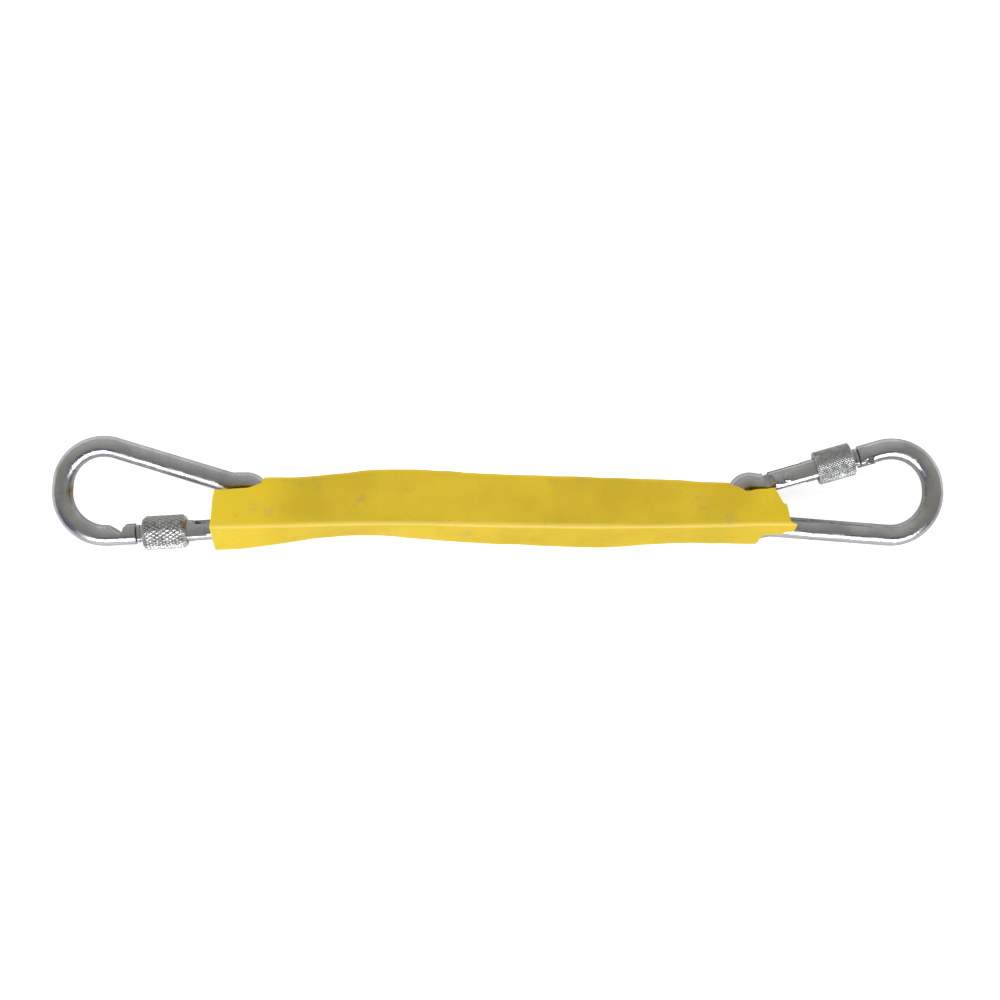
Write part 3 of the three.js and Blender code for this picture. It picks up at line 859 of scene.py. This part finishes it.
# %% Group: patches, scratches and grain
def surface_marks():
    """Soft patches, thin scratches and fine grain, as three masks from 0 to 1."""
    group, enter, leave = new_group(
        "surface_marks",
        [("Vector", "NodeSocketVector", None), ("Patch Scale", "NodeSocketFloat", 60.0),
         ("Scratch Scale", "NodeSocketFloat", 900.0), ("Grain Scale", "NodeSocketFloat", 3000.0)],
        [("Patches", "NodeSocketFloat"), ("Scratches", "NodeSocketFloat"), ("Grain", "NodeSocketFloat")])
    links = group.links
    patch = add_node(group, "ShaderNodeTexNoise", Detail=4.0, Roughness=0.55)
    links.new(enter.outputs["Vector"], patch.inputs["Vector"])
    links.new(enter.outputs["Patch Scale"], patch.inputs["Scale"])
    stretch = add_node(group, "ShaderNodeMapping")
    stretch.inputs["Scale"].default_value = (0.08, 1.0, 1.0)
    stretch.inputs["Rotation"].default_value = (0, 0, math.radians(9))
    links.new(enter.outputs["Vector"], stretch.inputs["Vector"])
    scratch = add_node(group, "ShaderNodeTexNoise", Detail=2.0, Roughness=0.5)
    links.new(stretch.outputs["Vector"], scratch.inputs["Vector"])
    links.new(enter.outputs["Scratch Scale"], scratch.inputs["Scale"])
    grain = add_node(group, "ShaderNodeTexNoise", Detail=2.0, Roughness=0.6)
    links.new(enter.outputs["Vector"], grain.inputs["Vector"])
    links.new(enter.outputs["Grain Scale"], grain.inputs["Scale"])
    links.new(ramp(group, patch.outputs["Fac"], [(0.38, 0.0), (0.66, 1.0)]), leave.inputs["Patches"])
    links.new(ramp(group, scratch.outputs["Fac"], [(0.62, 0.0), (0.70, 1.0)]), leave.inputs["Scratches"])
    links.new(grain.outputs["Fac"], leave.inputs["Grain"])
    return group


def spot_mask():
    """One soft round spot: 1 at its centre, 0 beyond its radius, broken up by noise."""
    group, enter, leave = new_group(
        "spot_mask",
        [("Vector", "NodeSocketVector", None), ("Centre", "NodeSocketVector", None),
         ("Radius", "NodeSocketFloat", 0.004)],
        [("Mask", "NodeSocketFloat")])
    links = group.links
    distance = add_node(group, "ShaderNodeVectorMath", {"operation": "DISTANCE"})
    links.new(enter.outputs["Vector"], distance.inputs[0])
    links.new(enter.outputs["Centre"], distance.inputs[1])
    share = add_node(group, "ShaderNodeMath", {"operation": "DIVIDE"})
    links.new(distance.outputs["Value"], share.inputs[0])
    links.new(enter.outputs["Radius"], share.inputs[1])
    rough = add_node(group, "ShaderNodeTexNoise", Scale=700.0, Detail=3.0)
    links.new(enter.outputs["Vector"], rough.inputs["Vector"])
    both = add_node(group, "ShaderNodeMath", {"operation": "ADD"})
    links.new(share.outputs["Value"], both.inputs[0])
    links.new(rough.outputs["Fac"], both.inputs[1])
    links.new(ramp(group, both.outputs["Value"], [(0.75, 1.0), (1.0, 0.0)]), leave.inputs["Mask"])
    return group


MARKS = surface_marks()
SPOT = spot_mask()
print("groups", MARKS.name, SPOT.name)


# %% Material basics
def start_material(name, metallic, roughness, scales):
    """A Principled material with object coordinates and the marks group at the given scales."""
    material = bpy.data.materials.new(name)
    material.use_nodes = True
    tree = material.node_tree
    shader = tree.nodes["Principled BSDF"]
    shader.inputs["Metallic"].default_value = metallic
    shader.inputs["Roughness"].default_value = roughness
    where = tree.nodes.new("ShaderNodeTexCoord")
    marks = tree.nodes.new("ShaderNodeGroup")
    marks.node_tree = MARKS
    tree.links.new(where.outputs["Object"], marks.inputs["Vector"])
    for label, value in zip(("Patch Scale", "Scratch Scale", "Grain Scale"), scales):
        marks.inputs[label].default_value = value
    return material, tree, shader, where.outputs["Object"], marks


def mix_colour(tree, mask, first, second, strength=1.0):
    """Blends from the first to the second colour or socket where the mask is 1."""
    node = add_node(tree, "ShaderNodeMix", {"data_type": "RGBA"})
    amount = add_node(tree, "ShaderNodeMath", {"operation": "MULTIPLY"})
    tree.links.new(mask, amount.inputs[0])
    amount.inputs[1].default_value = strength
    tree.links.new(amount.outputs["Value"], node.inputs["Factor"])
    for label, value in ((6, first), (7, second)):
        if isinstance(value, tuple):
            node.inputs[label].default_value = (*value, 1)
        else:
            tree.links.new(value, node.inputs[label])
    return node.outputs[2]


def add_bump(tree, shader, heights):
    """Chains one Bump node per (socket, distance) pair."""
    previous = None
    for height, distance in heights:
        bump = add_node(tree, "ShaderNodeBump", Strength=1.0, Distance=distance)
        tree.links.new(height, bump.inputs["Height"])
        if previous is not None:
            tree.links.new(previous, bump.inputs["Normal"])
        previous = bump.outputs["Normal"]
    tree.links.new(previous, shader.inputs["Normal"])


def spot(tree, vector, centre, radius):
    node = tree.nodes.new("ShaderNodeGroup")
    node.node_tree = SPOT
    tree.links.new(vector, node.inputs["Vector"])
    node.inputs["Centre"].default_value = centre
    node.inputs["Radius"].default_value = radius
    return node.outputs["Mask"]


# %% Zinc plate
def zinc(name, bright, dull, stains=(), roughness=(0.13, 0.34), shaded_grooves=False):
    material, tree, shader, vector, marks = start_material(name, 1.0, 0.2, (75.0, 1500.0, 5200.0))
    colour = mix_colour(tree, marks.outputs["Patches"], bright, dull)
    for centre, radius, tone in stains:
        colour = mix_colour(tree, spot(tree, vector, centre, radius), colour, tone, 0.85)
    colour = mix_colour(tree, marks.outputs["Scratches"], colour, (0.42, 0.42, 0.43), 0.35)
    # Painted shade: the knurl grooves are darkened by their depth.
    if shaded_grooves:
        painted_groove_shade = add_node(tree, "ShaderNodeAttribute", {"attribute_name": "groove"})
        colour = mix_colour(tree, ramp(tree, painted_groove_shade.outputs["Fac"], [(0.3, 0.0), (0.85, 1.0)]), colour,
                            (0.09, 0.085, 0.08), 0.9)
    tree.links.new(colour, shader.inputs["Base Color"])
    tree.links.new(ramp(tree, marks.outputs["Patches"], [(0.0, roughness[0]), (1.0, roughness[1])]),
                   shader.inputs["Roughness"])
    add_bump(tree, shader, [(marks.outputs["Patches"], 0.00016), (marks.outputs["Scratches"], 0.000012),
                            (marks.outputs["Grain"], 0.000007)])
    return material


def in_hook(side, x, y, z=0.0):
    return tuple(hook_matrix(side) @ Vector((x, y, z)))


OLD_GREASE = (0.42, 0.33, 0.12)
RUST = (0.45, 0.24, 0.06)
left_zinc = zinc("zinc_wire_left", (0.66, 0.67, 0.69), (0.50, 0.50, 0.50),
                 [(in_hook("left", -11.8, -1.0, 1.5), 0.006, OLD_GREASE)])
right_zinc = zinc("zinc_wire_right", (0.64, 0.65, 0.66), (0.47, 0.47, 0.47),
                  [(in_hook("right", 8, -13, 1.5), 0.005, OLD_GREASE)])
gate_zinc = zinc("zinc_gate", (0.66, 0.67, 0.69), (0.52, 0.52, 0.53), roughness=(0.16, 0.36))
near_rim = tuple(gate_matrix("left") @ Vector((8.9, -3.0, 4.5)))
nut_zinc_left = zinc("zinc_nut_left", (0.74, 0.75, 0.76), (0.62, 0.62, 0.62), [(near_rim, 0.0045, RUST)],
                     (0.2, 0.4), True)
nut_zinc_right = zinc("zinc_nut_right", (0.66, 0.67, 0.68), (0.52, 0.53, 0.53), (), (0.28, 0.5), True)
spring_steel = zinc("spring_steel", (0.40, 0.41, 0.43), (0.30, 0.30, 0.31), roughness=(0.25, 0.4))
for piece, material in zip(hook_pieces + gate_pieces + rivet_pieces + nut_pieces + [latch_pin],
                           [left_zinc, right_zinc, gate_zinc, gate_zinc, left_zinc, right_zinc,
                            nut_zinc_left, nut_zinc_right, spring_steel]):
    paint([piece], material)
paint(inner_pieces, spring_steel)
print("zinc finishes on", len(hook_pieces + gate_pieces + rivet_pieces + nut_pieces), "pieces")


# %% Yellow vinyl
def vinyl():
    material, tree, shader, vector, marks = start_material("sleeve_vinyl", 0.0, 0.42, (38.0, 500.0, 2600.0))
    shader.inputs["Specular IOR Level"].default_value = 0.3
    colour = mix_colour(tree, marks.outputs["Patches"], (0.76, 0.54, 0.018), (0.64, 0.45, 0.014))
    # Painted highlight: the left end of the sleeve is made a lighter yellow.
    length = add_node(tree, "ShaderNodeSeparateXYZ")
    tree.links.new(vector, length.inputs["Vector"])
    along = add_node(tree, "ShaderNodeMapRange", From_Min=-0.11, From_Max=0.11)
    tree.links.new(length.outputs["X"], along.inputs["Value"])
    painted_end_light = ramp(tree, along.outputs["Result"], [(0.0, 1.0), (0.08, 0.8), (0.14, 0.0)])
    colour = mix_colour(tree, painted_end_light, colour, (0.88, 0.65, 0.03), 0.6)
    # Lighter yellow along the ridge crease: stress whitening and a painted highlight.
    crease = add_node(tree, "ShaderNodeAttribute", {"attribute_name": "crease"})
    colour = mix_colour(tree, crease.outputs["Fac"], colour, (0.92, 0.71, 0.15), 0.7)
    scuff = add_node(tree, "ShaderNodeTexNoise", Scale=110.0, Detail=6.0, Roughness=0.7)
    tree.links.new(vector, scuff.inputs["Vector"])
    scuff_mask = ramp(tree, scuff.outputs["Fac"], [(0.60, 0.0), (0.74, 1.0)])
    colour = mix_colour(tree, scuff_mask, colour, (0.42, 0.32, 0.10), 0.55)
    # Painted shade: four soft darker patches on the top of the sleeve.
    for x, y, radius in ((86, -9.6, 0.0065), (-85, -7, 0.005), (38, 2, 0.007), (60, -2, 0.006)):
        painted_shade_patch = spot(tree, vector, (x * MM, y * MM, 16.5 * MM), radius)
        colour = mix_colour(tree, painted_shade_patch, colour, (0.40, 0.31, 0.14), 0.22)
    specks = add_node(tree, "ShaderNodeTexVoronoi", Scale=260.0)
    tree.links.new(vector, specks.inputs["Vector"])
    speck_mask = ramp(tree, specks.outputs["Distance"], [(0.035, 1.0), (0.06, 0.0)])
    colour = mix_colour(tree, speck_mask, colour, (0.12, 0.09, 0.04), 0.8)
    tree.links.new(colour, shader.inputs["Base Color"])
    tree.links.new(ramp(tree, marks.outputs["Patches"], [(0.0, 0.36), (1.0, 0.5)]), shader.inputs["Roughness"])
    wave = add_node(tree, "ShaderNodeTexNoise", Scale=70.0, Detail=2.0)
    tree.links.new(vector, wave.inputs["Vector"])
    add_bump(tree, shader, [(wave.outputs["Fac"], 0.0008), (marks.outputs["Grain"], 0.00002)])
    return material


def webbing():
    material, tree, shader, vector, marks = start_material("strap_webbing", 0.0, 0.85, (90.0, 900.0, 3500.0))
    over = add_node(tree, "ShaderNodeTexWave", {"wave_type": "BANDS", "bands_direction": "X"}, Scale=420.0)
    under = add_node(tree, "ShaderNodeTexWave", {"wave_type": "BANDS", "bands_direction": "Y"}, Scale=420.0)
    for wave in (over, under):
        tree.links.new(vector, wave.inputs["Vector"])
    weave = add_node(tree, "ShaderNodeMath", {"operation": "MULTIPLY"})
    tree.links.new(over.outputs["Fac"], weave.inputs[0])
    tree.links.new(under.outputs["Fac"], weave.inputs[1])
    colour = mix_colour(tree, weave.outputs["Value"], (0.55, 0.20, 0.02), (0.86, 0.38, 0.05))
    colour = mix_colour(tree, marks.outputs["Patches"], colour, (0.45, 0.22, 0.06), 0.4)
    tree.links.new(colour, shader.inputs["Base Color"])
    add_bump(tree, shader, [(weave.outputs["Value"], 0.00025), (marks.outputs["Grain"], 0.00003)])
    return material


def thread():
    material, tree, shader, vector, _ = start_material("sewing_thread", 0.0, 0.7, (300.0, 900.0, 4000.0))
    twist = add_node(tree, "ShaderNodeTexWave", {"wave_type": "BANDS", "bands_direction": "DIAGONAL"}, Scale=1400.0)
    tree.links.new(vector, twist.inputs["Vector"])
    colour = mix_colour(tree, twist.outputs["Fac"], (0.62, 0.58, 0.48), (0.86, 0.83, 0.74))
    tree.links.new(colour, shader.inputs["Base Color"])
    add_bump(tree, shader, [(twist.outputs["Fac"], 0.00008)])
    return material


paint(sleeve_pieces, vinyl())
paint(strap_pieces, webbing())
paint(stitch_pieces, thread())
print("soft finishes done")

# %% [markdown]
# ## Table and light
# A pale table and two large soft panels: one low in front, which draws the bright line along every bar, and one
# behind. The room is mid grey, with a dark stretch beside the front panel. Polished bars need it: it draws the
# thin blue-black line next to the bright one. The back panel lights the vinyl but isn't mirrored in the
# bars, and the table is a little brighter to the lens than in reflections.

# %% Floor, panels and surroundings
bm = bmesh.new()
bmesh.ops.create_grid(bm, x_segments=1, y_segments=1, size=3)
bmesh.ops.translate(bm, vec=(0, 0, -0.0003), verts=bm.verts[:])
floor = add_object("floor", bm)
floor_material = bpy.data.materials.new("pale_floor")
floor_material.use_nodes = True
floor_tree = floor_material.node_tree
floor_shader = floor_tree.nodes["Principled BSDF"]
floor_shader.inputs["Base Color"].default_value = (0.82, 0.82, 0.82, 1)
floor_shader.inputs["Roughness"].default_value = 0.85
floor_shader.inputs["Emission Color"].default_value = (1, 1, 1, 1)
ray = floor_tree.nodes.new("ShaderNodeLightPath")
lift = floor_tree.nodes.new("ShaderNodeMath")
lift.operation = "MULTIPLY"
lift.inputs[1].default_value = 0.7
floor_tree.links.new(ray.outputs["Is Camera Ray"], lift.inputs[0])
floor_tree.links.new(lift.outputs["Value"], floor_shader.inputs["Emission Strength"])
floor.data.materials.append(floor_material)


def panel(name, location, size, energy, mirrored=True):
    light = bpy.data.lights.new(name, "AREA")
    light.shape = "RECTANGLE"
    light.size, light.size_y = size
    light.energy = energy
    lamp = bpy.data.objects.new(name, light)
    bpy.context.collection.objects.link(lamp)
    lamp.location = location
    lamp.rotation_euler = (-Vector(location)).to_track_quat("-Z", "Y").to_euler()
    lamp.visible_glossy = mirrored


panel("front_panel", (0.1, -1.2, 0.6), (1.8, 0.6), 17)
panel("back_panel", (-0.3, 1.3, 1.1), (4.0, 2.4), 33, mirrored=False)
world = bpy.data.worlds.new("studio")
world.use_nodes = True
bpy.context.scene.world = world
sky = world.node_tree
where = sky.nodes.new("ShaderNodeTexCoord")
split = sky.nodes.new("ShaderNodeSeparateXYZ")
sky.links.new(where.outputs["Generated"], split.inputs["Vector"])
across = sky.nodes.new("ShaderNodeMapRange")
across.inputs["From Min"].default_value = -1
sky.links.new(split.outputs["Y"], across.inputs["Value"])
room = ramp(sky, across.outputs["Result"], [
    (0.0, 0.5), (0.09, 0.45), (0.14, (0.08, 0.10, 0.16)), (0.25, (0.14, 0.16, 0.22)), (0.36, (0.31, 0.30, 0.27)),
    (0.6, (0.38, 0.37, 0.33)), (1.0, 0.5)])
sky.links.new(room, sky.nodes["Background"].inputs["Color"])
sky.nodes["Background"].inputs["Strength"].default_value = 1.0
bpy.context.scene.view_settings.view_transform = "Standard"
